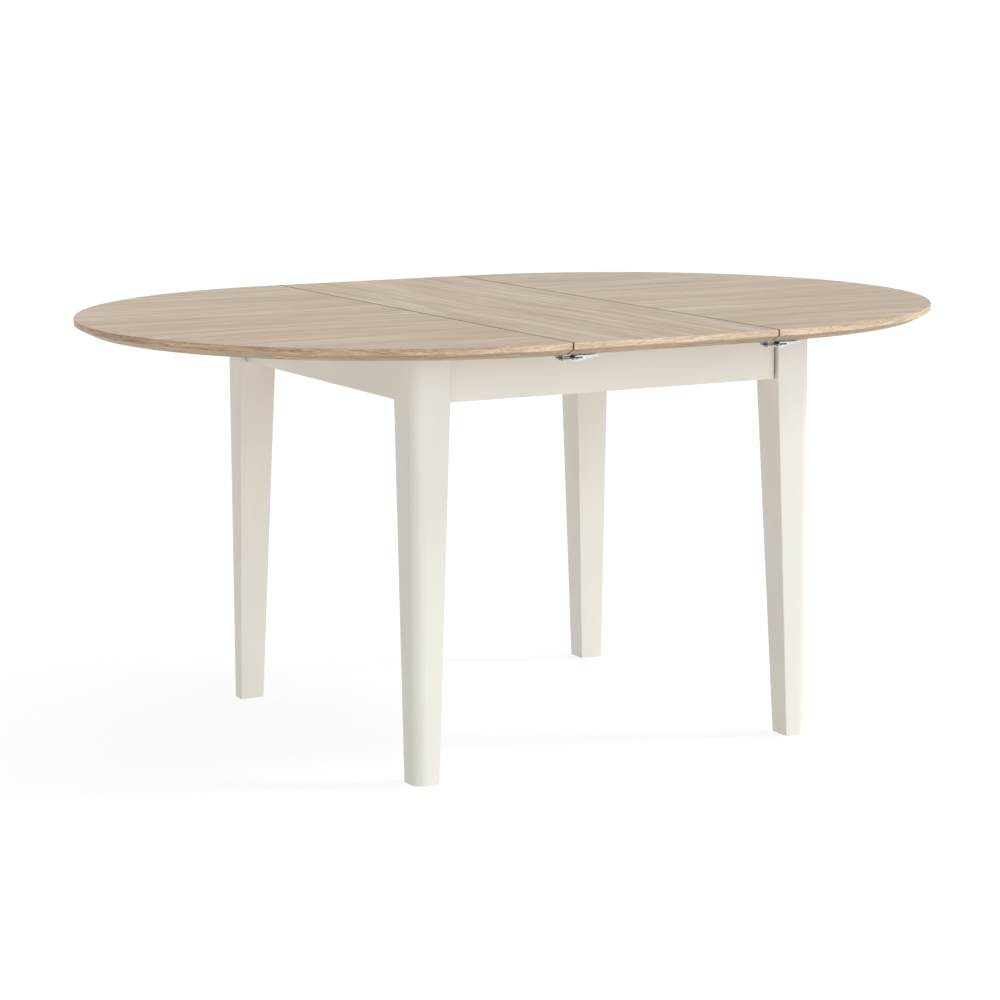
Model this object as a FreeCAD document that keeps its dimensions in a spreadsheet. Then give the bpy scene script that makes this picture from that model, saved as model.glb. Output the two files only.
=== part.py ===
"""Extending dining table: a round top in two halves, parted by a leaf, on a four-leg base.

The frame is in millimetres: origin on the floor under the middle of the top, +X along the
extended length, +Y to the back and +Z up. The table is drawn with its leaf in place.
"""
import FreeCAD, Part
import os
import re
import Sketcher

doc = FreeCAD.newDocument("ExtendingTable")
sheet = doc.addObject("Spreadsheet::Sheet", "Sizes")

# Driving dimensions in millimetres
SIZES = {
    # Table top
    "top_height": 780,
    "top_depth": 1200,
    "top_thickness": 23,
    "leaf_width": 405,
    "half_straight": 14,
    "edge_upright": 11,
    "bevel_inset": 24,
    "seam_gap": 1.2,
    "skin_thickness": 1,
    "skin_arris": 0.6,
    "lipping_width": 30,
    # Base
    "frame_width": 807,
    "frame_depth": 807,
    "leg_section": 72,
    "leg_foot": 46,
    "leg_corner_radius": 22,
    "leg_arris": 1.5,
    "apron_height": 93,
    "apron_thickness": 22,
    "apron_setback": 13,
    "apron_arris": 1.5,
    # Foot glides
    "glide_diameter": 28,
    "glide_height": 2,
    "glide_stem_diameter": 5,
    "glide_stem_length": 14,
    # Corner blocks and the bolts through them
    "block_seat": 14,
    "block_thickness": 26,
    "block_height": 60,
    "block_drop": 8,
    "bolt_diameter": 8,
    "bolt_in_leg": 28,
    "bolt_tail": 4,
    "washer_diameter": 22,
    "washer_thickness": 2,
    "nut_across_corners": 15,
    "nut_height": 6.5,
    "block_screw_diameter": 4,
    "block_screw_length": 22,
    "block_screw_head": 8,
    "block_screw_head_height": 2.5,
    "block_screw_grip": 10,
    # Rails, runners and buffers
    "rail_inset": 213.5,
    "rail_width": 32,
    "rail_height": 44,
    "rail_housing": 8,
    "groove_drop": 22,
    "groove_height": 12,
    "groove_depth": 9,
    "runner_length": 500,
    "runner_width": 28,
    "runner_height": 36,
    "runner_chamfer": 10,
    "runner_gap": 0.5,
    "tongue_play": 0.4,
    "slide_travel": 15,
    "buffer_thickness": 18,
    "buffer_height": 24,
    "runner_screw_inset": 20,
    "runner_screw_diameter": 4.5,
    "runner_screw_head": 9,
    "runner_screw_head_height": 3,
    "runner_screw_seat": 16,
    "runner_screw_length": 34,
    # Dowels at the seams
    "dowel_diameter": 10,
    "dowel_hold": 20,
    "dowel_proud": 10,
    "dowel_pitch": 400,
    "dowel_play": 0.3,
    # Catches
    "catch_inset": 36,
    "pivot_reach": 22,
    "pivot_drop": 7,
    "pin_diameter": 3.6,
    "base_start": 14,
    "base_length": 38,
    "base_width": 16,
    "base_gauge": 1.2,
    "ear_span": 14,
    "ear_gauge": 1.5,
    "ear_radius": 3.8,
    "lever_length": 42,
    "lever_width": 18,
    "lever_rise": 4.7,
    "lever_depth": 5.5,
    "lever_nose": 5,
    "lever_belly": 2,
    "lever_tip": 2.4,
    "lever_gauge": 1,
    "lever_mouth": 5,
    "lever_grip": 8,
    "bail_throw": 10,
    "bail_rise": 1,
    "bail_length": 40,
    "bail_width": 22.4,
    "bail_wire": 2.4,
    "bail_bend": 2.5,
    "bail_stub": 0.4,
    "keeper_length": 14,
    "keeper_width": 14,
    "keeper_gauge": 1.5,
    "keeper_drop": 9.5,
    "keeper_slack": 1.4,
    "keeper_screw_inset": 5,
    "keeper_screw_pitch": 7,
    "base_screw_inset": 6,
    "base_screw_pitch": 10,
    "catch_screw_diameter": 3,
    "catch_screw_head": 5.6,
    "catch_screw_head_height": 1.6,
    "catch_screw_length": 12,
    # Clearances
    "hole_play": 0.2,
    "buffer_play": 0.5,
    "cut_overrun": 20,
}

# Levels and places that follow from the driving dimensions
DERIVED = {
    "underside": "top_height - top_thickness",
    "skin_level": "top_height - skin_thickness",
    "board_middle": "top_height - top_thickness / 2",
    "round_radius": "top_depth / 2",
    "core_radius": "top_depth / 2 - lipping_width",
    "seam": "leaf_width / 2",
    "half_edge": "leaf_width / 2 + seam_gap / 2",
    "leaf_edge": "leaf_width / 2 - seam_gap / 2",
    "frame_half_x": "frame_width / 2",
    "frame_half_y": "frame_depth / 2",
    "apron_bottom": "top_height - top_thickness - apron_height",
    "apron_inset": "apron_setback + apron_thickness",
    "apron_middle": "apron_setback + apron_thickness / 2",
    "apron_in_x": "frame_width / 2 - apron_setback - apron_thickness",
    "seat_middle": "leg_section - block_seat / 2",
    "seat_sum": "2 * leg_section - block_seat",
    "block_sum": "2 * leg_section - block_seat + block_thickness * sqrt(2)",
    "block_top": "top_height - top_thickness - block_drop",
    "bolt_level": "top_height - top_thickness - block_drop - block_height / 2",
    "rail_offset": "frame_depth / 2 - rail_inset",
    "rail_bottom": "top_height - top_thickness - rail_height",
    "groove_middle": "top_height - top_thickness - groove_drop",
    "runner_bottom": "top_height - top_thickness - runner_height",
    "runner_start": "frame_width / 2 - apron_setback - apron_thickness - buffer_thickness"
                    " - slide_travel - buffer_play",
    "catch_line": "top_depth / 2 - catch_inset",
    "bail_reach": "pivot_reach + bail_throw",
    "bail_drop": "pivot_drop - bail_rise",
    "keeper_web": "bail_length - pivot_reach - bail_throw - bail_wire / 2 - keeper_slack",
    "keeper_end": "bail_length - pivot_reach - bail_throw - bail_wire / 2 - keeper_slack"
                  " - keeper_gauge + keeper_length",
}

# Edges of the boards and of their lippings, as distances from the middle line and heights
BOARD_EDGE = [("core_radius", "underside"), ("core_radius", "skin_level"), ("round_radius", "skin_level"),
              ("round_radius", "top_height - skin_arris"), ("round_radius - skin_arris", "top_height")]
LIPPING_EDGE = [("core_radius", "underside"), ("round_radius - bevel_inset", "underside"),
                ("round_radius", "top_height - edge_upright"), ("round_radius", "skin_level"),
                ("core_radius", "skin_level")]

ALL_NAMES = list(SIZES) + list(DERIVED)
WORD = re.compile(r"[a-z][a-z_]*")
LEFT_RIGHT = {"left": -1, "right": 1}
FRONT_BACK = {"front": -1, "back": 1}
CORNERS = {"front_left": 0, "front_right": 90, "back_right": 180, "back_left": 270}
DOWEL_ROWS = (-1, 0, 1)
SCREW_SHARES = (0, 0.5, 1)
STRAIGHT_SHARE = 0.1
NUT_SIDES = 6
QUARTER_TURN = 90
HALF_TURN = 180
UP = FreeCAD.Vector(0, 0, 1)
TO_RIGHT = FreeCAD.Vector(1, 0, 0)
TO_LEFT = FreeCAD.Vector(-1, 0, 0)
TO_BACK = FreeCAD.Vector(0, 1, 0)
TO_FRONT = FreeCAD.Vector(0, -1, 0)
TO_LEG = FreeCAD.Vector(-1, -1, 0)
FROM_LEG = FreeCAD.Vector(1, 1, 0)
nodes = {}


def fill_sheet():
    """Write the driving sizes and the levels that follow from them, each with its alias."""
    for row, name in enumerate(ALL_NAMES, start=1):
        cell = f"B{row}"
        sheet.set(f"A{row}", name)
        sheet.set(cell, str(SIZES[name]) if name in SIZES else "=" + DERIVED[name])
        sheet.setAlias(cell, name)
    doc.recompute()


def tie(expression):
    """Turn bare size names into references to the sheet."""
    return WORD.sub(lambda found: "Sizes." + found.group() if found.group() in ALL_NAMES else found.group(),
                    str(expression))


def size(expression):
    """Value of an expression in millimetres."""
    return float(sheet.evalExpression(tie(expression)))


def bind(item, **expressions):
    for name, expression in expressions.items():
        item.setExpression(name, tie(expression))
    return item


def place(item, x=0, y=0, z=0, rotation=FreeCAD.Rotation()):
    """Turn an object and tie its place to the sheet."""
    item.Placement = FreeCAD.Placement(FreeCAD.Vector(), rotation)
    for axis, expression in zip("xyz", (x, y, z)):
        item.setExpression("Placement.Base." + axis, tie(expression))
    return item


def node(label, item):
    """Keep a finished object as a named sub-part."""
    item.Label = label
    nodes[label] = item
    return item


def together(items):
    """Several separate solids that are placed as one."""
    compound = doc.addObject("Part::Compound", "together")
    compound.Links = items
    return compound


def group(label, items):
    """Several separate like solids in one sub-part."""
    return node(label, together(items))


def rod(diameter, length, x, y, z, direction=UP):
    """Round bar from a point along a direction."""
    cylinder = doc.addObject("Part::Cylinder", "rod")
    bind(cylinder, Radius=f"({diameter}) / 2", Height=length)
    return place(cylinder, x, y, z, FreeCAD.Rotation(UP, direction))


def block(length, width, height, x, y, z):
    """Box given by its lowest corner."""
    box = doc.addObject("Part::Box", "block")
    bind(box, Length=length, Width=width, Height=height)
    return place(box, x, y, z)


def cut(item, tools):
    """Take the tools, which stay apart from each other, out of an object."""
    result = doc.addObject("Part::Cut", "cut")
    result.Base = item
    result.Tool = together(tools)
    return result


def fuse(items):
    result = doc.addObject("Part::MultiFuse", "fuse")
    result.Shapes = items
    result.Refine = True
    return result


def new_body(name):
    return doc.addObject("PartDesign::Body", name)


def new_sketch(body, plane_role):
    """Empty sketch on one of the body's own origin planes."""
    plane = next(plane for plane in body.Origin.OriginFeatures if plane.Role == plane_role)
    sketch = body.newObject("Sketcher::SketchObject", "outline")
    sketch.AttachmentSupport = [(plane, "")]
    sketch.MapMode = "FlatFace"
    return sketch


def pin_point(sketch, line, end, x, y):
    """Tie one end of a line to the sheet in both directions."""
    for kind, expression in (("DistanceX", x), ("DistanceY", y)):
        index = sketch.addConstraint(Sketcher.Constraint(kind, -1, 1, line, end, size(expression)))
        sketch.setExpression(f"Constraints[{index}]", tie(expression))


def polygon(body, plane_role, corners):
    """Closed outline of straight lines through corners given as expressions."""
    sketch = new_sketch(body, plane_role)
    points = [FreeCAD.Vector(size(x), size(y), 0) for x, y in corners]
    count = len(points)
    for index in range(count):
        sketch.addGeometry(Part.LineSegment(points[index], points[(index + 1) % count]))
    for index in range(count):
        sketch.addConstraint(Sketcher.Constraint("Coincident", index, 2, (index + 1) % count, 1))
        pin_point(sketch, index, 1, *corners[index])
    return sketch


def circle(body, plane_role, diameter, x, y):
    """Circle in a sketch, with its centre and diameter tied to the sheet."""
    sketch = new_sketch(body, plane_role)
    centre = FreeCAD.Vector(size(x), size(y), 0)
    sketch.addGeometry(Part.Circle(centre, UP, size(diameter) / 2))
    index = sketch.addConstraint(Sketcher.Constraint("Diameter", 0, size(diameter)))
    sketch.setExpression(f"Constraints[{index}]", tie(diameter))
    pin_point(sketch, 0, 3, x, y)
    return sketch


def feature(body, kind, sketch, length, symmetric=True):
    """Pad or pocket from a sketch."""
    result = body.newObject("PartDesign::" + kind, kind.lower())
    result.Profile = sketch
    result.Midplane = symmetric
    bind(result, Length=length)
    return result


def revolve_half(body, sketch):
    """Turn a profile through the half circle on both sides of its plane."""
    result = body.newObject("PartDesign::Revolution", "revolution")
    result.Profile = sketch
    result.ReferenceAxis = (sketch, ["V_Axis"])
    result.Midplane = True
    result.Angle = HALF_TURN
    return result


def mirrored(outline):
    """An outline on the other side of the middle line, in the reverse order."""
    return [(f"-({across})", height) for across, height in reversed(outline)]


def edges_along(item, direction, test):
    """Names of the straight edges along a direction whose middle passes a test."""
    names = []
    for index, edge in enumerate(item.Shape.Edges, start=1):
        span = edge.Vertexes[-1].Point - edge.Vertexes[0].Point
        middle = (edge.Vertexes[-1].Point + edge.Vertexes[0].Point) * 0.5
        straight = span.Length > 0 and span.cross(direction).Length < span.Length * STRAIGHT_SHARE
        if straight and test(middle):
            names.append(f"Edge{index}")
    return names


def ease(body, base, kind, names, **expressions):
    """Fillet or chamfer some edges of a body's last feature."""
    result = body.newObject("PartDesign::" + kind, kind.lower())
    result.Base = (base, names)
    bind(result, **expressions)
    body.Tip = result
    return result


def at_corner(item, angle, name):
    """Stand a piece, drawn from a leg's outer corner inwards, at one corner of the base."""
    side_x = "frame_half_x" if "right" in name else "-frame_half_x"
    side_y = "frame_half_y" if "back" in name else "-frame_half_y"
    return place(item, side_x, side_y, 0, FreeCAD.Rotation(UP, angle))


fill_sheet()


# Legs, drawn from the outer corner inwards
def leg(name, angle):
    """Square leg, tapered on its two inner faces below the apron, with one rounded corner."""
    body = new_body("leg_body")
    square = polygon(body, "XY_Plane", [(0, 0), ("leg_section", 0), ("leg_section", "leg_section"),
                                        (0, "leg_section")])
    feature(body, "Pad", square, "underside", symmetric=False)
    taper = [("leg_section", "apron_bottom"), ("leg_section + cut_overrun", "apron_bottom"),
             ("leg_section + cut_overrun", 0), ("leg_foot", 0)]
    for plane_role in ("XZ_Plane", "YZ_Plane"):
        outline = polygon(body, plane_role, taper)
        feature(body, "Pocket", outline, "2 * leg_section + 2 * cut_overrun")
    seat = polygon(body, "XY_Plane", [("leg_section", "leg_section - block_seat"),
                                      ("leg_section", "leg_section"),
                                      ("leg_section - block_seat", "leg_section")])
    seat.setExpression("AttachmentOffset.Base.z", tie("block_top - block_height"))
    notch = feature(body, "Pocket", seat, "block_drop + block_height + cut_overrun", symmetric=False)
    notch.Reversed = True
    doc.recompute()
    outer = edges_along(notch, UP, lambda middle: max(middle.x, middle.y) < size("leg_foot / 2"))
    rounded = ease(body, notch, "Fillet", outer, Radius="leg_corner_radius")
    doc.recompute()
    sides = edges_along(rounded, UP, lambda middle: min(middle.x, middle.y) < size("leg_arris")
                        and max(middle.x, middle.y) > size("leg_foot / 2 + leg_corner_radius / 2"))
    ease(body, rounded, "Fillet", sides, Radius="leg_arris")
    foot_middle = "leg_foot / 2"
    bolt_start = "seat_middle + cut_overrun / sqrt(2)"
    bolt_bore = rod("bolt_diameter + hole_play", "bolt_in_leg + cut_overrun", bolt_start, bolt_start,
                    "bolt_level", TO_LEG)
    stem_bore = rod("glide_stem_diameter + hole_play", "glide_height + glide_stem_length + cut_overrun",
                    foot_middle, foot_middle, "-cut_overrun")
    glide_room = block("leg_section", "leg_section", "glide_height", 0, 0, 0)
    bored = cut(body, [bolt_bore, fuse([stem_bore, glide_room])])
    return node("leg_" + name, at_corner(bored, angle, name))


def glide(name, angle):
    """Round foot glide with a stem that is driven into the leg."""
    foot_middle = "leg_foot / 2"
    disc = rod("glide_diameter", "glide_height", foot_middle, foot_middle, 0)
    stem = rod("glide_stem_diameter", "glide_height + glide_stem_length", foot_middle, foot_middle, 0)
    return at_corner(fuse([disc, stem]), angle, name)


# Corner blocks and their fasteners, drawn from the leg's outer corner
def corner_block(name, angle):
    """Mitred block across the corner, bored for the hanger bolt and counterbored for two screws."""
    body = new_body("corner_block_body")
    outline = polygon(body, "XY_Plane", [("seat_sum - apron_inset", "apron_inset"),
                                         ("block_sum - apron_inset", "apron_inset"),
                                         ("apron_inset", "block_sum - apron_inset"),
                                         ("apron_inset", "seat_sum - apron_inset")])
    outline.setExpression("AttachmentOffset.Base.z", tie("block_top - block_height"))
    feature(body, "Pad", outline, "block_height", symmetric=False)
    start = "seat_middle - cut_overrun / sqrt(2)"
    bores = [rod("bolt_diameter + hole_play", "block_thickness + 2 * cut_overrun", start, start,
                 "bolt_level", FROM_LEG)]
    across = "(seat_sum + block_sum) / 2 - apron_inset"
    seat = "apron_inset + block_screw_grip"
    bottom = "apron_inset - cut_overrun"
    for way in (TO_RIGHT, TO_BACK):
        along = way is TO_RIGHT
        shank = rod("block_screw_diameter + hole_play", "2 * cut_overrun",
                    bottom if along else across, across if along else bottom, "bolt_level", way)
        head = rod("block_screw_head + hole_play", "2 * block_thickness",
                   seat if along else across, across if along else seat, "bolt_level", way)
        bores.append(fuse([shank, head]))
    return node("corner_block_" + name, at_corner(cut(body, bores), angle, name))


def screw(diameter, head, head_height, length):
    """Round-headed screw along +Z, its head below the origin and its shank above it."""
    shank = rod(diameter, length, 0, 0, 0)
    cap = doc.addObject("Part::Cone", "cap")
    bind(cap, Radius1=f"({head} + {diameter}) / 4", Radius2=f"{head} / 2", Height=head_height)
    place(cap, 0, 0, f"-{head_height}")
    return fuse([shank, cap])


def block_screws(name, angle):
    """Two screws from one corner block into the aprons beside it."""
    across = "(seat_sum + block_sum) / 2 - apron_inset"
    seat = "apron_inset + block_screw_grip"
    screws = []
    for x, y, way in ((seat, across, TO_LEFT), (across, seat, TO_FRONT)):
        item = screw("block_screw_diameter", "block_screw_head", "block_screw_head_height",
                     "block_screw_length")
        screws.append(place(item, x, y, "bolt_level", FreeCAD.Rotation(UP, way)))
    return at_corner(together(screws), angle, name)


def bolt(name, angle):
    """Hanger bolt from the leg through the block."""
    start = "seat_middle - bolt_in_leg / sqrt(2)"
    length = "bolt_in_leg + block_thickness + washer_thickness + nut_height + bolt_tail"
    shank = rod("bolt_diameter", length, start, start, "bolt_level", FROM_LEG)
    return at_corner(together([shank]), angle, name)


def ring_on_bolt(blank, reach, name, angle):
    """Bore a washer or nut blank and set it on the bolt, at a reach beyond the leg's seat."""
    spot = f"seat_middle + ({reach}) / sqrt(2)"
    bore = rod("bolt_diameter + hole_play", "2 * cut_overrun", 0, 0, "-cut_overrun")
    ring = place(cut(blank, [bore]), spot, spot, "bolt_level", FreeCAD.Rotation(UP, FROM_LEG))
    return at_corner(together([ring]), angle, name)


def washer(name, angle):
    disc = rod("washer_diameter", "washer_thickness", 0, 0, 0)
    return ring_on_bolt(disc, "block_thickness", name, angle)


def nut(name, angle):
    hexagon = doc.addObject("Part::Prism", "hexagon")
    hexagon.Polygon = NUT_SIDES
    bind(hexagon, Circumradius="nut_across_corners / 2", Height="nut_height")
    return ring_on_bolt(hexagon, "block_thickness + washer_thickness", name, angle)


# Aprons, drawn along their own length and then turned to their side of the base
def apron(name, length, side_x, side_y, turned, inner):
    """Board between two legs, eased along its lower edges and bored for the corner blocks' screws."""
    body = new_body("apron_body")
    half = f"({length}) / 2"
    thick = "apron_thickness / 2"
    board = polygon(body, "XY_Plane", [(f"-{half}", f"-{thick}"), (half, f"-{thick}"),
                                       (half, thick), (f"-{half}", thick)])
    board.setExpression("AttachmentOffset.Base.z", tie("apron_bottom"))
    pad = feature(body, "Pad", board, "apron_height", symmetric=False)
    doc.recompute()
    lower = edges_along(pad, TO_RIGHT, lambda middle: middle.z < size("apron_bottom + apron_arris"))
    ease(body, pad, "Fillet", lower, Radius="apron_arris")
    along = f"({length}) / 2 + leg_section - (seat_sum + block_sum) / 2 + apron_inset"
    screw_depth = "block_screw_length - block_screw_grip + hole_play"
    bores = []
    for side in ("-1", "1"):
        bores.append(rod("block_screw_diameter + hole_play", screw_depth, f"{side} * ({along})",
                         f"{inner} * {thick}", "bolt_level", TO_BACK if inner < 0 else TO_FRONT))
    if turned:
        for side in ("-1", "1"):
            bores.append(block("rail_width + hole_play", "2 * rail_housing", "rail_height + cut_overrun",
                               f"{side} * rail_offset - rail_width / 2 - hole_play / 2",
                               f"{inner} * {thick} - rail_housing", "rail_bottom"))
    x = f"{side_x} * (frame_half_x - apron_middle)"
    y = f"{side_y} * (frame_half_y - apron_middle)"
    turn = FreeCAD.Rotation(UP, QUARTER_TURN if turned else 0)
    return node("apron_" + name, place(cut(body, bores), x, y, 0, turn))


# Slides under the top
def rail(name, side):
    """Rail along the base, grooved on both sides, with its ends housed in the end aprons."""
    body = new_body("rail_body")
    wide = "rail_width / 2"
    floor = "rail_width / 2 - groove_depth"
    low = "groove_middle - groove_height / 2"
    high = "groove_middle + groove_height / 2"
    right_side = [(wide, "rail_bottom"), (wide, low), (floor, low), (floor, high), (wide, high),
                  (wide, "underside")]
    section = polygon(body, "YZ_Plane", right_side + mirrored(right_side))
    feature(body, "Pad", section, "2 * (apron_in_x + rail_housing)")
    return node("rail_" + name, place(body, 0, f"{side} * rail_offset", 0))


def runner(name, end, side, face):
    """Runner under one half, beside a rail, with a tongue in the rail's groove."""
    body = new_body("runner_body")
    inner = f"{side} * rail_offset + {face} * (rail_width / 2 + runner_gap)"
    outer = f"{inner} + {face} * runner_width"
    tip = f"{inner} - {face} * (groove_depth - tongue_play)"
    low = "groove_middle - groove_height / 2 + tongue_play"
    high = "groove_middle + groove_height / 2 - tongue_play"
    section = polygon(body, "YZ_Plane", [(outer, "runner_bottom"), (inner, "runner_bottom"), (inner, low),
                                         (tip, low), (tip, high), (inner, high), (inner, "underside"),
                                         (outer, "underside")])
    pad = feature(body, "Pad", section, "runner_length")
    doc.recompute()
    ends = edges_along(pad, TO_BACK, lambda middle: middle.z < size("runner_bottom + runner_chamfer / 2"))
    ease(body, pad, "Chamfer", ends, Size="runner_chamfer")
    place(body, f"{end} * (runner_start - runner_length / 2)")
    holes = []
    for x, y in runner_screw_spots(end, side, face):
        shank = rod("runner_screw_diameter + hole_play", "runner_height", x, y, "runner_bottom")
        head = rod("runner_screw_head + hole_play", "runner_screw_seat + cut_overrun", x, y,
                   "runner_bottom - cut_overrun")
        holes.append(fuse([shank, head]))
    return node(name, cut(body, holes))


def runner_screw_spots(end, side, face):
    """Places of the screws along the part of a runner that lies under its half."""
    y = f"{side} * rail_offset + {face} * (rail_width / 2 + runner_gap + runner_width / 2)"
    first = "runner_start - runner_screw_inset"
    last = "half_edge + runner_screw_inset"
    return [(f"{end} * ({last} + {share} * ({first} - ({last})))", y) for share in SCREW_SHARES]


def buffer(end, side, face):
    """Block on the end apron that stops a runner at the end of its travel."""
    x = f"{end} * (apron_in_x - buffer_thickness / 2) - buffer_thickness / 2"
    y = f"{side} * rail_offset + {face} * (rail_width / 2 + runner_gap + runner_width / 2) - runner_width / 2"
    return block("buffer_thickness", "runner_width", "buffer_height", x, y,
                 "underside - (runner_height + buffer_height) / 2")


# Boards of the top
def straight_run(body, outline, end):
    """Carry the section of a half-round piece on from its middle to the seam."""
    run = feature(body, "Pad", polygon(body, "YZ_Plane", outline), "half_straight", symmetric=False)
    run.Reversed = end > 0


def half_panel(name, end):
    """Half-round board whose skin covers the lipping, with dowel and screw holes."""
    body = new_body("half_panel_body")
    profile = [(0, "underside")] + BOARD_EDGE + [(0, "top_height")]
    revolve_half(body, polygon(body, "XZ_Plane", [(f"{end} * ({x})", z) for x, z in profile]))
    straight_run(body, BOARD_EDGE + mirrored(BOARD_EDGE), end)
    place(body, f"{end} * (half_edge + half_straight)")
    holes = dowel_holes(end, "half_edge", end)
    for side in FRONT_BACK.values():
        holes += runner_screw_holes(end, side, -side * end)
        holes += catch_screw_holes(end, side, fitted_with_base=end > 0)
    return node(name, cut(body, holes))


def half_lipping(name, end):
    """Half ring of solid wood with an upright edge over an undercut bevel."""
    body = new_body("half_lipping_body")
    revolve_half(body, polygon(body, "XZ_Plane", [(f"{end} * ({x})", z) for x, z in LIPPING_EDGE]))
    for side in FRONT_BACK.values():
        straight_run(body, [(f"{side} * ({y})", z) for y, z in LIPPING_EDGE], end)
    return node(name, place(body, f"{end} * (half_edge + half_straight)"))


def leaf_panel():
    """Straight board of the leaf, with its skin over both lippings."""
    body = new_body("leaf_panel_body")
    section = polygon(body, "YZ_Plane", BOARD_EDGE + mirrored(BOARD_EDGE))
    feature(body, "Pad", section, "2 * leaf_edge")
    holes = dowel_holes(-1, "leaf_edge", 1) + dowel_holes(1, "leaf_edge", -1)
    for side in FRONT_BACK.values():
        holes += catch_screw_holes(-1, side, fitted_with_base=True)
        holes += catch_screw_holes(1, side, fitted_with_base=False)
    return node("leaf_panel", cut(body, holes))


def leaf_lipping(name, side):
    """Straight lipping on one end of the leaf, with the same edge as the halves."""
    body = new_body("leaf_lipping_body")
    section = polygon(body, "YZ_Plane", [(f"{side} * ({y})", z) for y, z in LIPPING_EDGE])
    feature(body, "Pad", section, "2 * leaf_edge")
    return node("leaf_lipping_" + name, body)


def dowel_holes(end, edge, way):
    """Holes from a seam edge into a board: way is +1 for a hole that runs towards +X."""
    depth = "dowel_hold + dowel_play + seam_gap"
    start = f"{end} * {edge} - {way} * seam_gap"
    return [rod("dowel_diameter + 2 * dowel_play", depth, start, f"{row} * dowel_pitch", "board_middle",
                TO_RIGHT if way > 0 else TO_LEFT) for row in DOWEL_ROWS]


def dowels(label, end, edge):
    """Dowels glued into a board's edge on one side, standing proud towards +X."""
    return group(label, [rod("dowel_diameter", "dowel_hold + dowel_proud", f"{end} * {edge} - dowel_hold",
                             f"{row} * dowel_pitch", "board_middle", TO_RIGHT) for row in DOWEL_ROWS])


def runner_screw_holes(end, side, face):
    depth = "runner_screw_length - runner_height + runner_screw_seat"
    return [rod("runner_screw_diameter + hole_play", depth, x, y, "underside")
            for x, y in runner_screw_spots(end, side, face)]


def runner_screws(label, end):
    """All the screws that hold one half's two runners."""
    screws = []
    for side in FRONT_BACK.values():
        for x, y in runner_screw_spots(end, side, -side * end):
            item = screw("runner_screw_diameter", "runner_screw_head", "runner_screw_head_height",
                         "runner_screw_length")
            screws.append(place(item, x, y, "runner_bottom + runner_screw_seat"))
    return group(label, screws)


# Over-centre catches, drawn from the seam at the underside of the top
def catch_screw_spots(end, side, fitted_with_base):
    """Screw places of a catch base, right of a seam, or of a keeper, left of it."""
    y = f"{side} * catch_line"
    if fitted_with_base:
        far = f"{end} * seam + base_start + base_length - base_screw_inset"
        return [(far, y), (f"{far} - base_screw_pitch", y)]
    x = f"{end} * seam - keeper_end + keeper_screw_inset"
    return [(x, f"{y} + {half} * keeper_screw_pitch / 2") for half in FRONT_BACK.values()]


def catch_screw_holes(end, side, fitted_with_base):
    return [rod("catch_screw_diameter + hole_play", "catch_screw_length", x, y, "underside")
            for x, y in catch_screw_spots(end, side, fitted_with_base)]


def catch_screws(end, side, fitted_with_base):
    """Screws of one catch base or keeper, their heads under its plate."""
    seat = "base_gauge" if fitted_with_base else "keeper_gauge"
    screws = []
    for x, y in catch_screw_spots(end, side, fitted_with_base):
        item = screw("catch_screw_diameter", "catch_screw_head", "catch_screw_head_height",
                     "catch_screw_length")
        screws.append(place(item, x, y, f"underside - {seat}"))
    return screws


def catch_base(end, side):
    """Plate with two ears that carry the lever's pin."""
    parts = [block("base_length", "base_width", "base_gauge", "base_start", "-base_width / 2", "-base_gauge")]
    for y in ("-ear_span / 2", "ear_span / 2 - ear_gauge"):
        parts.append(block("2 * ear_radius", "ear_gauge", "pivot_drop", "pivot_reach - ear_radius", y,
                           "-pivot_drop"))
        parts.append(rod("2 * ear_radius", "ear_gauge", "pivot_reach", y, "-pivot_drop", TO_BACK))
    holes = [rod("pin_diameter + hole_play", "2 * lever_width", "pivot_reach", "-lever_width", "-pivot_drop",
                 TO_BACK)]
    far = "base_start + base_length - base_screw_inset"
    for x in (far, f"{far} - base_screw_pitch"):
        holes.append(rod("catch_screw_diameter + hole_play", "2 * cut_overrun", x, 0, "-cut_overrun"))
    return place(cut(fuse(parts), holes), f"{end} * seam", f"{side} * catch_line", "underside")


def catch_pin(end, side):
    return rod("pin_diameter", "lever_width", f"{end} * seam + pivot_reach",
               f"{side} * catch_line - lever_width / 2", "underside - pivot_drop", TO_BACK)


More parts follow.
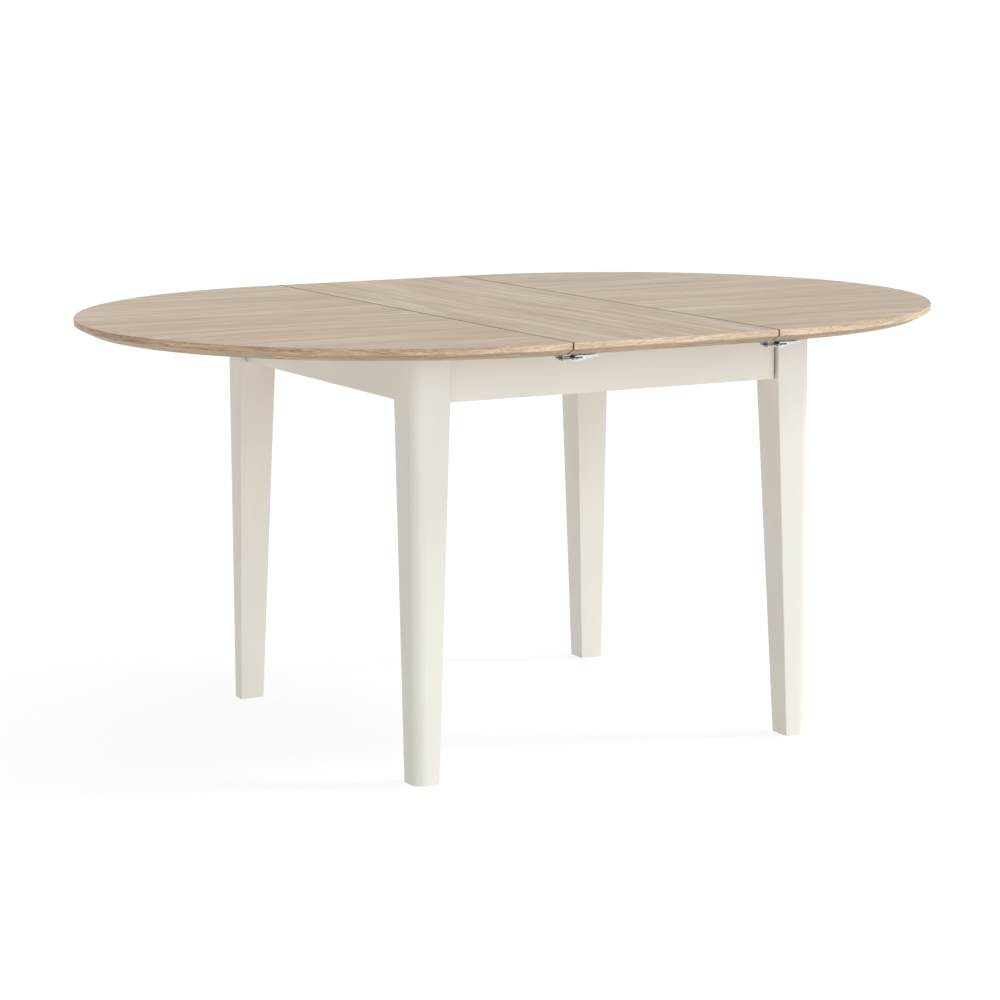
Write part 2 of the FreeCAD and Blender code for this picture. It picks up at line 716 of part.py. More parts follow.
def lever(name, end, side):
    """Pressed channel, deepest under its pivot and thin at its finger end."""
    body = new_body("lever_body")
    low_tip = "lever_rise - lever_tip"
    slope = f"({low_tip} + lever_depth) / (lever_length - lever_belly)"
    outside = [("-lever_nose", "lever_rise"), ("lever_length", "lever_rise"), ("lever_length", low_tip),
               ("lever_belly", "-lever_depth"), ("-lever_nose", "-lever_depth")]
    pad = feature(body, "Pad", polygon(body, "XZ_Plane", outside), "lever_width")
    doc.recompute()
    nose = edges_along(pad, TO_BACK, lambda middle: middle.x < size("-lever_nose / 2"))
    ease(body, pad, "Fillet", nose, Radius="min(lever_nose; (lever_rise + lever_depth) / 2 - hole_play / 4)")
    inner_end = "lever_length - lever_grip"
    floor = f"lever_gauge - lever_depth + {slope} *"
    inside = [("-lever_nose - cut_overrun", "-lever_depth - cut_overrun"),
              ("lever_mouth", "-lever_depth - cut_overrun"),
              ("lever_mouth", f"{floor} (lever_mouth - lever_belly)"),
              (inner_end, f"{floor} ({inner_end} - lever_belly)"),
              (inner_end, "lever_rise + cut_overrun"),
              ("-lever_nose - cut_overrun", "lever_rise + cut_overrun")]
    feature(body, "Pocket", polygon(body, "XZ_Plane", inside), "lever_width - 2 * lever_gauge")
    feature(body, "Pocket", circle(body, "XZ_Plane", "pin_diameter + 2 * hole_play", 0, 0), "2 * lever_width")
    feature(body, "Pocket", circle(body, "XZ_Plane", "bail_wire + 2 * hole_play", "bail_throw", "bail_rise"),
            "2 * lever_width")
    return node(name, place(body, f"{end} * seam + pivot_reach", f"{side} * catch_line",
                            "underside - pivot_drop"))


def bail(name, end, side):
    """Bent wire loop, its two ends turned inwards into the lever's holes."""
    wide = "(bail_width / 2 - bail_bend)"
    run = "bail_length - 2 * bail_bend"
    wires = [rod("bail_wire", f"2 * {wide}", "-bail_length", f"-{wide}", 0, TO_BACK)]
    stub = f"{wide} - lever_width / 2 + lever_gauge + bail_stub"
    for way, inwards in ((-1, TO_BACK), (1, TO_FRONT)):
        wires.append(rod("bail_wire", run, "-bail_bend", f"{way} * bail_width / 2", 0, TO_LEFT))
        wires.append(rod("bail_wire", stub, 0, f"{way} * {wide}", 0, inwards))
    bends = (("-bail_bend", wide, 0), ("bail_bend - bail_length", wide, 90),
             ("bail_bend - bail_length", f"-{wide}", 180), ("-bail_bend", f"-{wide}", 270))
    for x, y, turn in bends:
        bend = doc.addObject("Part::Torus", "bend")
        bend.Angle3 = QUARTER_TURN
        bind(bend, Radius1="bail_bend", Radius2="bail_wire / 2")
        wires.append(place(bend, x, y, 0, FreeCAD.Rotation(UP, turn)))
    return node(name, place(fuse(wires), f"{end} * seam + bail_reach", f"{side} * catch_line",
                            "underside - bail_drop"))


def keeper(end, side):
    """Plate folded down into a hook that the bail pulls on."""
    body = new_body("keeper_body")
    section = [("-keeper_end", 0), ("-keeper_end", "-keeper_gauge"), ("-keeper_web", "-keeper_gauge"),
               ("-keeper_web", "-keeper_drop"), ("keeper_gauge - keeper_web", "-keeper_drop"),
               ("keeper_gauge - keeper_web", 0)]
    feature(body, "Pad", polygon(body, "XZ_Plane", section), "keeper_width")
    holes = [rod("catch_screw_diameter + hole_play", "2 * cut_overrun", "keeper_screw_inset - keeper_end",
                 f"{half} * keeper_screw_pitch / 2", "-cut_overrun") for half in FRONT_BACK.values()]
    return place(cut(body, holes), f"{end} * seam", f"{side} * catch_line", "underside")


# The whole table
for corner_name, corner_angle in CORNERS.items():
    leg(corner_name, corner_angle)
    corner_block(corner_name, corner_angle)
for label, piece in (("foot_glides", glide), ("hanger_bolts", bolt), ("hanger_washers", washer),
                     ("hanger_nuts", nut), ("corner_block_screws", block_screws)):
    group(label, [piece(*corner) for corner in CORNERS.items()])

for side_name, sign in FRONT_BACK.items():
    apron(side_name, "2 * (frame_half_x - leg_section)", 0, sign, turned=False, inner=-sign)
    rail(side_name, sign)
    leaf_lipping(side_name, sign)
for end_name, sign in LEFT_RIGHT.items():
    apron(end_name, "2 * (frame_half_y - leg_section)", sign, 0, turned=True, inner=sign)
    half_panel(end_name + "_panel", sign)
    half_lipping(end_name + "_lipping", sign)
    runner_screws(end_name + "_runner_screws", sign)
    for side_name, side in FRONT_BACK.items():
        runner(f"{end_name}_runner_{side_name}", sign, side, -side * sign)
        lever(f"{end_name}_lever_{side_name}", sign, side)
        bail(f"{end_name}_bail_{side_name}", sign, side)
group("slide_buffers", [buffer(end, side, -side * end) for end in LEFT_RIGHT.values()
                        for side in FRONT_BACK.values()])

leaf_panel()
dowels("left_dowels", -1, "half_edge")
dowels("leaf_dowels", 1, "leaf_edge")
group("leaf_catch_bases", [catch_base(-1, side) for side in FRONT_BACK.values()])
group("leaf_catch_pins", [catch_pin(-1, side) for side in FRONT_BACK.values()])
group("right_catch_bases", [catch_base(1, side) for side in FRONT_BACK.values()])
group("right_catch_pins", [catch_pin(1, side) for side in FRONT_BACK.values()])
group("left_keepers", [keeper(-1, side) for side in FRONT_BACK.values()])
group("leaf_keepers", [keeper(1, side) for side in FRONT_BACK.values()])
group("left_keeper_screws", [item for side in FRONT_BACK.values() for item in catch_screws(-1, side, False)])
group("right_catch_screws", [item for side in FRONT_BACK.values() for item in catch_screws(1, side, True)])
group("leaf_catch_screws", [item for side in FRONT_BACK.values()
                            for item in catch_screws(-1, side, True) + catch_screws(1, side, False)])
doc.recompute()

failed = [item.Name for item in doc.Objects if "Invalid" in item.State or "Error" in item.State]
failed += [label for label, item in nodes.items() if item.Shape.isNull() or not item.Shape.isValid()]
failed += [label for label, item in nodes.items() if not item.Shape.Solids]
if failed:
    raise RuntimeError("Not built: " + ", ".join(failed))

os.makedirs("parts", exist_ok=True)
for label, item in nodes.items():
    item.Shape.exportStep(f"parts/{label}.step")
print(len(nodes), "sub-parts written")
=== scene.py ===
"""Looks, floor, light and camera for an extending dining table with a limed oak top and a painted base."""

import math

import bmesh
import bpy
from mathutils import Matrix, Vector


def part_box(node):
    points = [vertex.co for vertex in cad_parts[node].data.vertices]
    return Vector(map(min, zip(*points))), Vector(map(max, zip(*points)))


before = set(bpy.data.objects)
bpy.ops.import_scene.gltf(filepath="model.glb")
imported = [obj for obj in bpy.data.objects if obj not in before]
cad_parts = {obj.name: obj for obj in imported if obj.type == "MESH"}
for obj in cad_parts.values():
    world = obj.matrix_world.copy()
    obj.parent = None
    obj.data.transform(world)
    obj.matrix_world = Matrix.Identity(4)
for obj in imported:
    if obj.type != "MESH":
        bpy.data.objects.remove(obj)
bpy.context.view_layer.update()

# Places that the finishes follow, in metres, read from the CAD pieces
leaf_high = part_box("leaf_panel")[1]
half_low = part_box("right_panel")[0]
apron_low, apron_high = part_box("apron_back")
SEAM = (leaf_high.x + half_low.x) / 2
BOARD_TOP = leaf_high.z
APRON_FOOT = apron_low.z
APRON_FACE = apron_high.y
APRON_END = apron_high.x
LEG_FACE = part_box("leg_back_right")[1].y

# Round ends of the top: each half has a short straight stretch from the seam to the round's centre
HALF_STRAIGHT = 0.014
ROUND_CENTRE = half_low.x + HALF_STRAIGHT
ROUND_RADIUS = leaf_high.y

# Edge of the boards: an upright part, and under it a bevel that runs in by so many times its height
EDGE_UPRIGHT = 0.011
BEVEL_TOP = BOARD_TOP - EDGE_UPRIGHT
BEVEL_RUN = 2.0

# How far from a seam, a joint or a leg's recess the painted shade reaches, and the share of that reach that
# is fully dark
VENEER_SEAM_SHADE_REACH = 0.0026
LIPPING_SEAM_SHADE_REACH = 0.0020
JOINT_SHADE_REACH = 0.0016
RECESS_REACH = 0.0014
FULLY_DARK_SHARE = 0.6

# Depths behind the top and the edge at which the seams' painted shade ends, and at which it is whole
TOP_SKIN = (0.0020, 0.0012)
EDGE_SKIN = (0.0025, 0.0015)

# How far above an apron's foot the painted shade beside it is whole
RECESS_RISE = 0.010

# Tones of the lipping's upright edge, at a piece's middle and at this distance along it: above 0 is lighter.
# The left end's dark middle is painted shade, for the edge that faces away from the lamps.
LIPPING_TONES = {"left": (-0.15, 0.03), "right": (0.04, 0.06), "leaf": (0.07, 0.07)}
LIPPING_REACH = 0.80

# Tone of the bevel, a painted shade for its downward face, and the heights from the bevel's top between which
# it turns into the upright edge's tone
BEVEL_TONE = -0.16
BEVEL_TURN = (-0.0020, 0.0008)

# Ways a board's grain can run: the turn that brings it onto the pattern's X axis
GRAIN_ALONG_X = (0.0, 0.0, 0.0)
GRAIN_ALONG_Y = (0.0, 0.0, math.radians(-90))
GRAIN_ALONG_Z = (0.0, math.radians(90), 0.0)
GRAIN_DIAGONAL = (0.0, 0.0, math.radians(-45))
GRAIN_OTHER_DIAGONAL = (0.0, 0.0, math.radians(45))

# Patterns: nearly all of a noise lies between these values, and its small marks are this strong
NOISE_REACH = (0.3, 0.7)
NOISE_ROUGHNESS = 0.55
FADE_IN = (0.0, 1.0)
FADE_OUT = (1.0, 0.0)

# Height of each finish's relief, in metres
WOOD_RELIEF = 0.00010
SKIN_RELIEF = 0.00002
CHROME_RELIEF = 0.000004

# The camera, found by fitting the CAD outline to the photograph. At a turn of 90 degrees it looks level.
CAMERA_PLACE = (-2.6189, -4.8828, 1.3307)
CAMERA_LEVEL = 90.0
CAMERA_YAW = 28.0
CAMERA_PITCH = -9.40
CAMERA_ROLL = -0.246
CAMERA_LENS = 107.54
CAMERA_SENSOR = 36.0
CAMERA_REACH = 200.0

# Light: a white room, brighter overhead. Its right side gives this share more, and its left as much less.
HORIZON_LIGHT = 0.53
CEILING_LIGHT = 0.73
RIGHT_SIDE_SHARE = 0.5

# Lamps: where each stands, seen from the table, its strength, how wide it is in degrees and its tint
LAMPS = {
    "window_lamp": ((0.74, -0.30, 0.60), 0.85, 14.0, (1.0, 1.0, 1.0)),
    "front_lamp": ((0.05, -0.99, 0.06), 1.20, 50.0, (0.90, 0.93, 1.0)),
}

# Floor: the glow and the grey that light the object from below, and those that are seen
FLOOR_SIZE = 120.0
FLOOR_LIGHT_GLOW = 0.55
FLOOR_LIGHT_GREY = 0.35
FLOOR_SEEN_GLOW = 0.77
FLOOR_SEEN_GREY = 0.34


def colour(red, green, blue):
    """A colour given as it shows on a screen, 0 to 255, in Blender's linear values."""
    def linear(level):
        share = level / 255
        return share / 12.92 if share <= 0.04045 else ((share + 0.055) / 1.055) ** 2.4
    return (linear(red), linear(green), linear(blue), 1.0)


def grey(level):
    """A neutral colour of one linear level."""
    return (level, level, level, 1.0)


def node(tree, kind, inputs=None, **options):
    """Add one shader node. A socket in inputs takes a value, or a link from another node's socket."""
    made = tree.nodes.new(kind)
    for option, value in options.items():
        setattr(made, option, value)
    for socket, value in (inputs or {}).items():
        if isinstance(value, bpy.types.NodeSocket):
            tree.links.new(value, made.inputs[socket])
        else:
            made.inputs[socket].default_value = value
    return made


def math_node(tree, operation, *values):
    """The result of one sum on numbers or sockets."""
    return node(tree, "ShaderNodeMath", dict(enumerate(values)), operation=operation).outputs[0]


def new_finish(name, **shader_values):
    """A material with a plain shader whose constant sockets are set. Returns material, tree and shader."""
    material = bpy.data.materials.new(name)
    material.use_nodes = True
    tree = material.node_tree
    shader = tree.nodes["Principled BSDF"]
    for socket, value in shader_values.items():
        shader.inputs[socket.replace("_", " ")].default_value = value
    return material, tree, shader


def object_spots(tree):
    """Places on the piece, in the frame's coordinates."""
    return node(tree, "ShaderNodeTexCoord").outputs["Object"]


def axes_of(tree, spots):
    """The X, Y and Z of places."""
    return node(tree, "ShaderNodeSeparateXYZ", {0: spots}).outputs


def board_spots(tree, turn):
    """Places turned so that the grain lies along X."""
    return node(tree, "ShaderNodeMapping", {"Vector": object_spots(tree), "Rotation": turn}).outputs["Vector"]


def bent_spots(tree, side):
    """Places along a round end's edge: length along the arc, distance from its centre, height."""
    axes = axes_of(tree, object_spots(tree))
    out = math_node(tree, "MULTIPLY_ADD", axes["X"], side, -ROUND_CENTRE)
    angle = math_node(tree, "ARCTAN2", axes["Y"], out)
    arc = math_node(tree, "MULTIPLY", angle, ROUND_RADIUS)
    flat = node(tree, "ShaderNodeCombineXYZ", {"X": out, "Y": axes["Y"]}).outputs[0]
    reach = node(tree, "ShaderNodeVectorMath", {0: flat}, operation="LENGTH").outputs["Value"]
    return node(tree, "ShaderNodeCombineXYZ", {"X": arc, "Y": reach, "Z": axes["Z"]}).outputs[0]


def moved_spots(tree, spots, by, plus):
    """Places, or a pattern's values, times one vector and plus another."""
    sockets = {0: spots, 1: by, 2: plus}
    return node(tree, "ShaderNodeVectorMath", sockets, operation="MULTIPLY_ADD").outputs[0]


def streaks(tree, spots, length, width, detail=3.0, shift=0.0):
    """Soft noise drawn out along the grain: marks about that long and that wide."""
    drawn = moved_spots(tree, spots, by=(1 / length, 1 / width, 1 / width), plus=(shift, shift, shift))
    sockets = {"Vector": drawn, "Scale": 1.0, "Detail": detail, "Roughness": NOISE_ROUGHNESS}
    return node(tree, "ShaderNodeTexNoise", sockets).outputs["Fac"]


def blend_of(tree, *weighted):
    """The weighted sum of several patterns."""
    total = 0.0
    for pattern, weight in weighted:
        total = math_node(tree, "MULTIPLY_ADD", pattern, weight, total)
    return total


def ramp(tree, pattern, stops):
    """Colours laid along a pattern's values, as (value, colour) pairs from low to high."""
    made = node(tree, "ShaderNodeValToRGB", {"Fac": pattern})
    band = made.color_ramp
    for index, (place, shade) in enumerate(stops):
        stop = band.elements[index] if index < 2 else band.elements.new(place)
        stop.position = place
        stop.color = shade
    return made.outputs["Color"]


def spread(tree, pattern, values, results):
    """A pattern's values between two numbers, moved to lie between two others."""
    sockets = {"Value": pattern, "From Min": values[0], "From Max": values[1]}
    sockets.update({"To Min": results[0], "To Max": results[1]})
    return node(tree, "ShaderNodeMapRange", sockets).outputs["Result"]


def tint(tree, under, over, mask):
    """One colour laid over another where the mask is high."""
    mix = node(tree, "ShaderNodeMix", data_type="RGBA")
    for socket, value in ((mix.inputs[0], mask), (mix.inputs[6], under), (mix.inputs[7], over)):
        if isinstance(value, bpy.types.NodeSocket):
            tree.links.new(value, socket)
        else:
            socket.default_value = value
    return mix.outputs[2]


def near_plane(tree, along, place, reach):
    """1 close to the two planes that stand at plus and minus that place on an axis, within that reach."""
    away = math_node(tree, "SUBTRACT", math_node(tree, "ABSOLUTE", along), place)
    return spread(tree, math_node(tree, "ABSOLUTE", away), (reach, reach * FULLY_DARK_SHARE), FADE_IN)


def seam_shade(tree, reach):
    """1 along the seams on the boards' outer skin, where shade is painted: on top, on the upright edge and on
    the bevel.
    """
    axes = axes_of(tree, object_spots(tree))
    on_top = spread(tree, axes["Z"], [BOARD_TOP - depth for depth in TOP_SKIN], FADE_IN)
    below = math_node(tree, "MAXIMUM", math_node(tree, "SUBTRACT", BEVEL_TOP, axes["Z"]), 0.0)
    outwards = math_node(tree, "MULTIPLY_ADD", below, BEVEL_RUN, math_node(tree, "ABSOLUTE", axes["Y"]))
    on_edge = spread(tree, outwards, [ROUND_RADIUS - depth for depth in EDGE_SKIN], FADE_IN)
    skin = math_node(tree, "MAXIMUM", on_top, on_edge)
    return math_node(tree, "MULTIPLY", skin, near_plane(tree, axes["X"], SEAM, reach))


def recess_shade(tree):
    """1 on the legs' inner faces where the aprons stand back from them, fading to the legs' outer faces:
    painted shade in that corner.
    """
    axes = axes_of(tree, object_spots(tree))
    shade = 0.0
    for facing, across in (("X", "Y"), ("Y", "X")):
        outwards = math_node(tree, "ABSOLUTE", axes[across])
        fading = spread(tree, outwards, (APRON_FACE, LEG_FACE), FADE_OUT)
        on_face = near_plane(tree, axes[facing], APRON_END, RECESS_REACH)
        strip = math_node(tree, "MULTIPLY", fading, on_face)
        shade = math_node(tree, "MAXIMUM", strip, shade)
    above = spread(tree, axes["Z"], (APRON_FOOT, APRON_FOOT + RECESS_RISE), FADE_IN)
    return math_node(tree, "MULTIPLY", shade, above)


def joint_shade_lines(tree, end_axis):
    """1 at the two ends of an apron, where it meets the legs: a thin line of painted shade in the joint."""
    return near_plane(tree, axes_of(tree, object_spots(tree))[end_axis], APRON_END, JOINT_SHADE_REACH)


def join(tree, shader, base, roughness, height, depth):
    """Lead colour, roughness and relief to the shader. Depth is the relief's height in metres."""
    bump = node(tree, "ShaderNodeBump", {"Height": height, "Distance": depth, "Strength": 1.0})
    tree.links.new(base, shader.inputs["Base Color"])
    tree.links.new(roughness, shader.inputs["Roughness"])
    tree.links.new(bump.outputs["Normal"], shader.inputs["Normal"])


def limed_veneer(name, turn):
    """Pale limed oak veneer: soft wandering grain, white in the pores, matt lacquer and painted shade along
    the seams.
    """
    material, tree, shader = new_finish(name, IOR=1.48, Specular_IOR_Level=0.16)
    straight = board_spots(tree, turn)
    sway = streaks(tree, straight, length=0.60, width=0.16, detail=1.0, shift=21.0)
    spots = moved_spots(tree, sway, by=(0.0, 0.055, 0.0), plus=straight)
    clouds = streaks(tree, spots, length=0.55, width=0.055, detail=2.0)
    bands = streaks(tree, spots, length=0.36, width=0.015, shift=4.0)
    lines = streaks(tree, spots, length=0.22, width=0.0036, shift=9.0)
    flecks = streaks(tree, spots, length=0.030, width=0.0022, detail=2.0, shift=27.0)
    pores = streaks(tree, spots, length=0.014, width=0.0006, detail=2.0, shift=15.0)
    wood = ramp(
        tree,
        blend_of(tree, (clouds, 0.27), (bands, 0.25), (lines, 0.26), (flecks, 0.22)),
        [
            (0.365, colour(174, 152, 127)),
            (0.50, colour(198, 178, 156)),
            (0.635, colour(219, 203, 184)),
        ],
    )
    white_pores = spread(tree, pores, values=(0.60, 0.70), results=(0.0, 0.35))
    limed = tint(tree, wood, colour(220, 210, 198), white_pores)
    dark_pores = spread(tree, pores, values=(0.36, 0.30), results=(0.0, 0.30))
    oak = tint(tree, limed, colour(146, 123, 102), dark_pores)
    # Painted shade along the seams: dark brown where the gap and its groove would lie in shadow
    base = tint(tree, oak, colour(92, 60, 34), seam_shade(tree, VENEER_SEAM_SHADE_REACH))
    roughness = spread(tree, bands, NOISE_REACH, results=(0.58, 0.46))
    height = blend_of(tree, (lines, 0.6), (pores, 0.4))
    join(tree, shader, base, roughness, height, WOOD_RELIEF)
    return material


def lipping_oak(name, side, tones):
    """Peach oak edge lipping: grain along the edge, short dark flecks, satin lacquer and painted shade at the
    seams.

    Side is -1 on the left round end, 1 on the right one and 0 on the leaf's straight edges. The upright edge
    goes from the first tone in the middle of the piece to the second at its ends. On the left end, whose
    middle faces away from the lamps, that darker middle is painted shade.
    """
    material, tree, shader = new_finish(
        name, IOR=1.5, Specular_IOR_Level=0.25, Coat_Weight=0.05, Coat_Roughness=0.3
    )
    straight = bent_spots(tree, side) if side else board_spots(tree, GRAIN_ALONG_X)
    sway = streaks(tree, straight, length=0.09, width=0.030, detail=2.0, shift=17.0)
    spots = moved_spots(tree, sway, by=(0.0, 0.012, 0.016), plus=straight)
    bands = streaks(tree, spots, length=0.22, width=0.007)
    lines = streaks(tree, spots, length=0.055, width=0.0018, shift=5.0)
    flecks = streaks(tree, spots, length=0.012, width=0.0008, detail=2.0, shift=11.0)
    axes = axes_of(tree, straight)
    upright = spread(tree, axes["Z"], [BEVEL_TOP + step for step in BEVEL_TURN], FADE_IN)
    along = math_node(tree, "ABSOLUTE", axes["X"])
    over_bevel = spread(tree, along, (0.0, LIPPING_REACH), [tone - BEVEL_TONE for tone in tones])
    # Painted shade: the downward bevel is darker than the upright edge
    shade = math_node(tree, "MULTIPLY_ADD", upright, over_bevel, BEVEL_TONE)
    wood = ramp(
        tree,
        blend_of(tree, (bands, 0.45), (lines, 0.55), (shade, 1.0)),
        [
            (0.29, colour(155, 127, 96)),
            (0.40, colour(189, 161, 129)),
            (0.51, colour(216, 191, 161)),
            (0.64, colour(238, 218, 195)),
        ],
    )
    dark_flecks = spread(tree, flecks, values=(0.56, 0.68), results=(0.0, 0.65))
    oak = tint(tree, wood, colour(138, 104, 68), dark_flecks)
    # Painted shade at the seams: dark brown where the gap between the pieces would lie in shadow
    base = tint(tree, oak, colour(104, 68, 36), seam_shade(tree, LIPPING_SEAM_SHADE_REACH))
    roughness = spread(tree, lines, NOISE_REACH, results=(0.50, 0.36))
    height = blend_of(tree, (lines, 0.6), (flecks, -0.4))
    join(tree, shader, base, roughness, height, WOOD_RELIEF)
    return material


def ivory_paint(name, turn, end_axis=None):
    """Ivory satin paint: a fine rolled skin over faint brush lines.

    An apron has an end axis, for the lines of painted shade at its ends. A leg has a painted shade beside the
    aprons.
    """
    material, tree, shader = new_finish(name, IOR=1.5, Coat_Weight=0.10, Coat_Roughness=0.3)
    spots = board_spots(tree, turn)
    brushed = streaks(tree, spots, length=0.30, width=0.0040, detail=2.0)
    skin = streaks(tree, spots, length=0.0022, width=0.0016, detail=2.0, shift=3.0)
    patches = streaks(tree, spots, length=0.25, width=0.12, detail=2.0, shift=8.0)
    tone = blend_of(tree, (patches, 0.7), (brushed, 0.3))
    paint = ramp(
        tree,
        tone,
        [
            (0.30, colour(236, 232, 220)),
            (0.50, colour(239, 235, 224)),
            (0.70, colour(241, 238, 228)),
        ],
    )
    if end_axis:
        # Painted shade: a dark line at each end of the apron, where it meets a leg
        base = tint(tree, paint, colour(112, 102, 88), joint_shade_lines(tree, end_axis))
    else:
        # Painted shade on the legs' inner faces, in the corner beside each apron
        base = tint(tree, paint, colour(184, 176, 160), recess_shade(tree))
    roughness = spread(tree, tone, NOISE_REACH, results=(0.46, 0.38))
    height = blend_of(tree, (brushed, 0.35), (skin, 0.65))
    join(tree, shader, base, roughness, height, SKIN_RELIEF)
    return material


def planed_beech(name, turn):
    """Bare planed beech: pinkish tan, with the short brown flecks of its rays."""
    material, tree, shader = new_finish(name, IOR=1.45)
    spots = board_spots(tree, turn)
    bands = streaks(tree, spots, length=0.5, width=0.012)
    lines = streaks(tree, spots, length=0.10, width=0.0018, shift=6.0)
    rays = streaks(tree, spots, length=0.005, width=0.0007, detail=1.0, shift=12.0)
    wood = ramp(
        tree,
        blend_of(tree, (bands, 0.6), (lines, 0.4)),
        [
            (0.33, colour(190, 146, 104)),
            (0.50, colour(207, 166, 122)),
            (0.67, colour(221, 184, 143)),
        ],
    )
    brown_rays = spread(tree, rays, values=(0.62, 0.70), results=(0.0, 0.5))
    base = tint(tree, wood, colour(148, 100, 64), brown_rays)
    roughness = spread(tree, lines, NOISE_REACH, results=(0.68, 0.54))
    height = blend_of(tree, (lines, 0.7), (rays, -0.3))
    join(tree, shader, base, roughness, height, WOOD_RELIEF)
    return material


def chrome_plate(name, dark, light):
    """Chrome plate with a faint haze and rubbing marks, between a dark and a light tone."""
    material, tree, shader = new_finish(name, Metallic=1.0)
    spots = board_spots(tree, GRAIN_ALONG_X)
    haze = streaks(tree, spots, length=0.012, width=0.008)
    rubs = streaks(tree, spots, length=0.010, width=0.0004, detail=2.0, shift=7.0)
    base = ramp(tree, haze, [(0.3, dark), (0.7, light)])
    roughness = spread(tree, blend_of(tree, (haze, 0.5), (rubs, 0.5)), NOISE_REACH, results=(0.06, 0.16))
    join(tree, shader, base, roughness, rubs, CHROME_RELIEF)
    return material


def zinc_plate(name):
    """Zinc-plated steel: pale grey with a cloudy, slightly rough plating."""
    material, tree, shader = new_finish(name, Metallic=1.0)
    spots = board_spots(tree, GRAIN_ALONG_X)
    clouds = streaks(tree, spots, length=0.004, width=0.004)
    grit = streaks(tree, spots, length=0.0005, width=0.0005, detail=2.0, shift=5.0)
    base = ramp(
        tree,
        clouds,
        [
            (0.3, colour(158, 159, 156)),
            (0.5, colour(178, 178, 174)),
            (0.7, colour(196, 195, 186)),
        ],
    )
    roughness = spread(tree, clouds, NOISE_REACH, results=(0.44, 0.28))
    join(tree, shader, base, roughness, grit, SKIN_RELIEF)
    return material


def off_white_nylon(name):
    """Moulded off-white nylon with faint stains and a fine sparked skin."""
    material, tree, shader = new_finish(name, IOR=1.53, Subsurface_Weight=0.05)
    spots = board_spots(tree, GRAIN_ALONG_X)
    stain = streaks(tree, spots, length=0.010, width=0.010)
    skin = streaks(tree, spots, length=0.0006, width=0.0006, detail=2.0, shift=5.0)
    base = ramp(tree, stain, [(0.3, colour(214, 210, 200)), (0.7, colour(232, 229, 222))])
    roughness = spread(tree, stain, NOISE_REACH, results=(0.62, 0.48))
    join(tree, shader, base, roughness, skin, SKIN_RELIEF)
    return material


def dress(finish, names):
    """Give the named CAD nodes one finish."""
    for name in names:
        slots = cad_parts[name].data.materials
        slots.clear()
        slots.append(finish)


ENDS = ("left", "right")
SIDES = ("front", "back")
CORNERS = ("front_left", "front_right", "back_right", "back_left")
CATCH_BOARDS = ("leaf", "right")

# Top: the grain runs along the table on the halves and across it on the leaf
dress(limed_veneer("limed_veneer_along_the_table", GRAIN_ALONG_X), ["left_panel", "right_panel"])
dress(limed_veneer("limed_veneer_along_the_leaf", GRAIN_ALONG_Y), ["leaf_panel"])
# Left round end: the darker middle of its upright edge is painted shade
dress(lipping_oak("lipping_oak_left", -1.0, LIPPING_TONES["left"]), ["left_lipping"])
dress(lipping_oak("lipping_oak_right", 1.0, LIPPING_TONES["right"]), ["right_lipping"])
dress(
    lipping_oak("lipping_oak_straight", 0.0, LIPPING_TONES["leaf"]),
    [f"leaf_lipping_{side}" for side in SIDES],
)

# Painted base
dress(ivory_paint("ivory_paint_legs", GRAIN_ALONG_Z), [f"leg_{corner}" for corner in CORNERS])
dress(ivory_paint("ivory_paint_long_aprons", GRAIN_ALONG_X, "X"), [f"apron_{side}" for side in SIDES])
dress(ivory_paint("ivory_paint_end_aprons", GRAIN_ALONG_Y, "Y"), [f"apron_{end}" for end in ENDS])

# Sliding gear, dowels and corner blocks
dress(
    planed_beech("planed_beech_along", GRAIN_ALONG_X),
    [f"rail_{side}" for side in SIDES]
    + [f"{end}_runner_{side}" for end in ENDS for side in SIDES]
    + ["slide_buffers", "leaf_dowels", "left_dowels"],
)
dress(
    planed_beech("planed_beech_rising", GRAIN_DIAGONAL),
    ["corner_block_front_right", "corner_block_back_left"],
)
dress(
    planed_beech("planed_beech_falling", GRAIN_OTHER_DIAGONAL),
    ["corner_block_front_left", "corner_block_back_right"],
)

# Catches, fasteners and feet
dress(
    chrome_plate("bright_chrome", colour(206, 209, 216), colour(228, 230, 235)),
    [f"{end}_lever_{side}" for end in ENDS for side in SIDES],
)
# Bails, keepers, catch bases and pins: the same chrome painted darker, a painted shade for their place under
# the top
dress(
    chrome_plate("shaded_chrome", colour(110, 113, 122), colour(150, 153, 161)),
    [f"{end}_bail_{side}" for end in ENDS for side in SIDES]
    + ["leaf_keepers", "left_keepers"]
    + [f"{board}_catch_{part}" for board in CATCH_BOARDS for part in ("bases", "pins")],
)
dress(
    zinc_plate("zinc_plate"),
    ["corner_block_screws", "hanger_bolts", "hanger_nuts", "hanger_washers", "left_keeper_screws"]
    + [f"{end}_runner_screws" for end in ENDS]
    + [f"{board}_catch_screws" for board in CATCH_BOARDS],
)
dress(off_white_nylon("off_white_nylon"), ["foot_glides"])


def seen_ray(tree):
    """1 for rays that show the surroundings themselves: to the camera, in metal, through glass."""
    path = node(tree, "ShaderNodeLightPath").outputs
    straight = math_node(tree, "MAXIMUM", path["Is Camera Ray"], path["Is Glossy Ray"])
    return math_node(tree, "MAXIMUM", straight, path["Is Transmission Ray"])


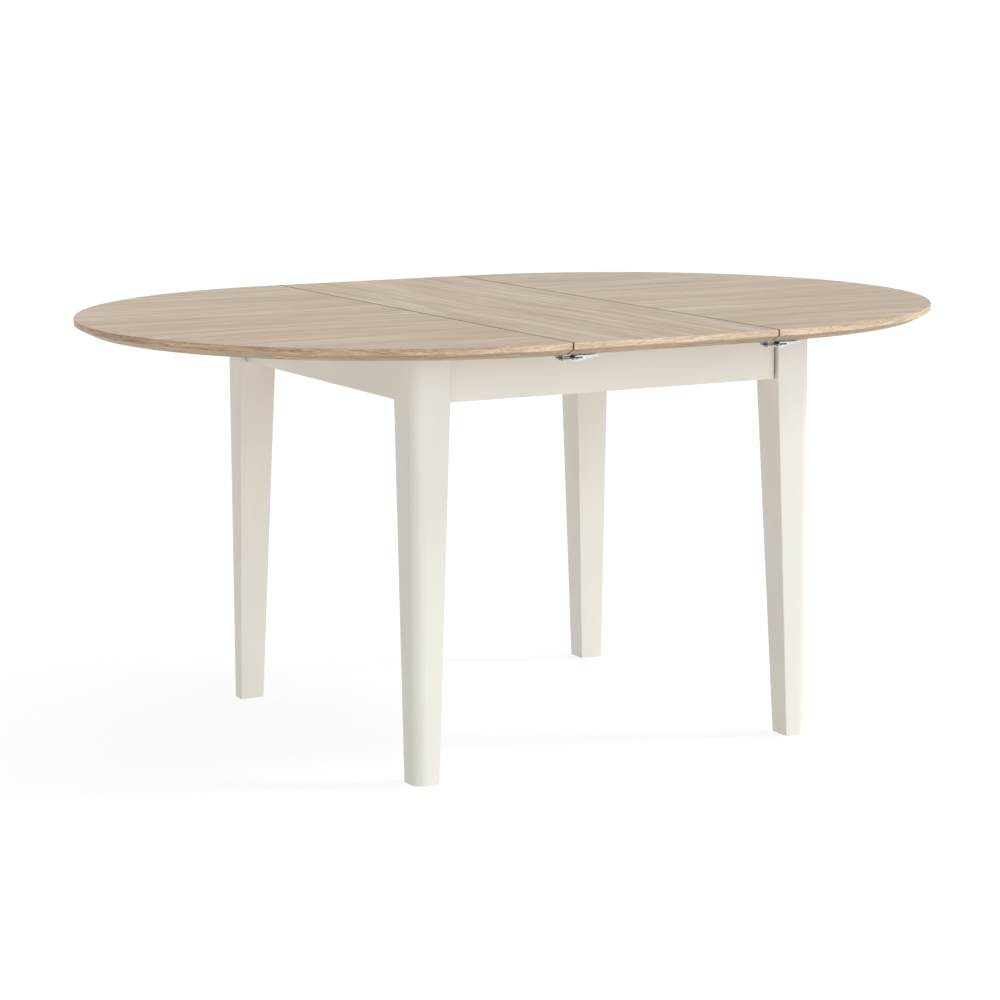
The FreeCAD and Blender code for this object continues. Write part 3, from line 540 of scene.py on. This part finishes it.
def white_room():
    """A white surround: full white where it is seen, softer as a light and softest on the left."""
    world = bpy.data.worlds.new("white_room")
    bpy.context.scene.world = world
    world.use_nodes = True
    tree = world.node_tree
    axes = axes_of(tree, node(tree, "ShaderNodeTexCoord").outputs["Generated"])
    level = spread(tree, axes["Z"], (0.0, 1.0), (HORIZON_LIGHT, CEILING_LIGHT))
    side = math_node(tree, "MULTIPLY_ADD", axes["X"], RIGHT_SIDE_SHARE, 1.0)
    light = math_node(tree, "MULTIPLY", level, side)
    seen = seen_ray(tree)
    unseen = math_node(tree, "SUBTRACT", 1.0, seen)
    strength = math_node(tree, "MULTIPLY_ADD", light, unseen, seen)
    tree.links.new(strength, tree.nodes["Background"].inputs["Strength"])
    tree.nodes["Background"].inputs["Color"].default_value = grey(1.0)


def glowing_matt(tree, strength, level):
    """A matt grey surface with a glow of its own."""
    glow = node(tree, "ShaderNodeEmission", {"Strength": strength}).outputs[0]
    matt = node(tree, "ShaderNodeBsdfDiffuse", {"Color": grey(level)}).outputs[0]
    return node(tree, "ShaderNodeAddShader", {0: glow, 1: matt}).outputs[0]


def pale_floor():
    """A plain floor, near white where it is seen, that still takes the table's soft shadow."""
    mesh = bpy.data.meshes.new("pale_floor")
    sheet = bmesh.new()
    bmesh.ops.create_grid(sheet, x_segments=1, y_segments=1, size=FLOOR_SIZE / 2)
    sheet.to_mesh(mesh)
    sheet.free()
    floor = bpy.data.objects.new("pale_floor", mesh)
    bpy.context.scene.collection.objects.link(floor)
    material = bpy.data.materials.new("pale_floor")
    material.use_nodes = True
    tree = material.node_tree
    tree.nodes.remove(tree.nodes["Principled BSDF"])
    given = glowing_matt(tree, FLOOR_LIGHT_GLOW, FLOOR_LIGHT_GREY)
    shown = glowing_matt(tree, FLOOR_SEEN_GLOW, FLOOR_SEEN_GREY)
    both = node(tree, "ShaderNodeMixShader", {0: seen_ray(tree), 1: given, 2: shown}).outputs[0]
    tree.links.new(both, tree.nodes["Material Output"].inputs["Surface"])
    mesh.materials.append(material)


def studio_lamps():
    """Two soft lamps: one to the right that casts the shadows, and a low broad one in front."""
    for name, (place, strength, width, shade) in LAMPS.items():
        lamp = bpy.data.lights.new(name, "SUN")
        lamp.energy = strength
        lamp.angle = math.radians(width)
        lamp.color = shade
        stand = bpy.data.objects.new(name, lamp)
        bpy.context.scene.collection.objects.link(stand)
        stand.rotation_euler = Vector(place).to_track_quat("Z", "Y").to_euler()


def photograph_camera():
    """The camera at the photograph's place, turn and lens."""
    lens = bpy.data.cameras.new("photograph_camera")
    lens.sensor_width = CAMERA_SENSOR
    lens.lens = CAMERA_LENS
    lens.clip_end = CAMERA_REACH
    camera = bpy.data.objects.new("photograph_camera", lens)
    bpy.context.scene.collection.objects.link(camera)
    yaw = Matrix.Rotation(math.radians(-CAMERA_YAW), 4, "Z")
    pitch = Matrix.Rotation(math.radians(CAMERA_LEVEL + CAMERA_PITCH), 4, "X")
    roll = Matrix.Rotation(math.radians(CAMERA_ROLL), 4, "Z")
    camera.matrix_world = Matrix.Translation(CAMERA_PLACE) @ yaw @ pitch @ roll
    bpy.context.scene.camera = camera


white_room()
pale_floor()
studio_lamps()
photograph_camera()
bpy.context.scene.view_settings.view_transform = "Standard"
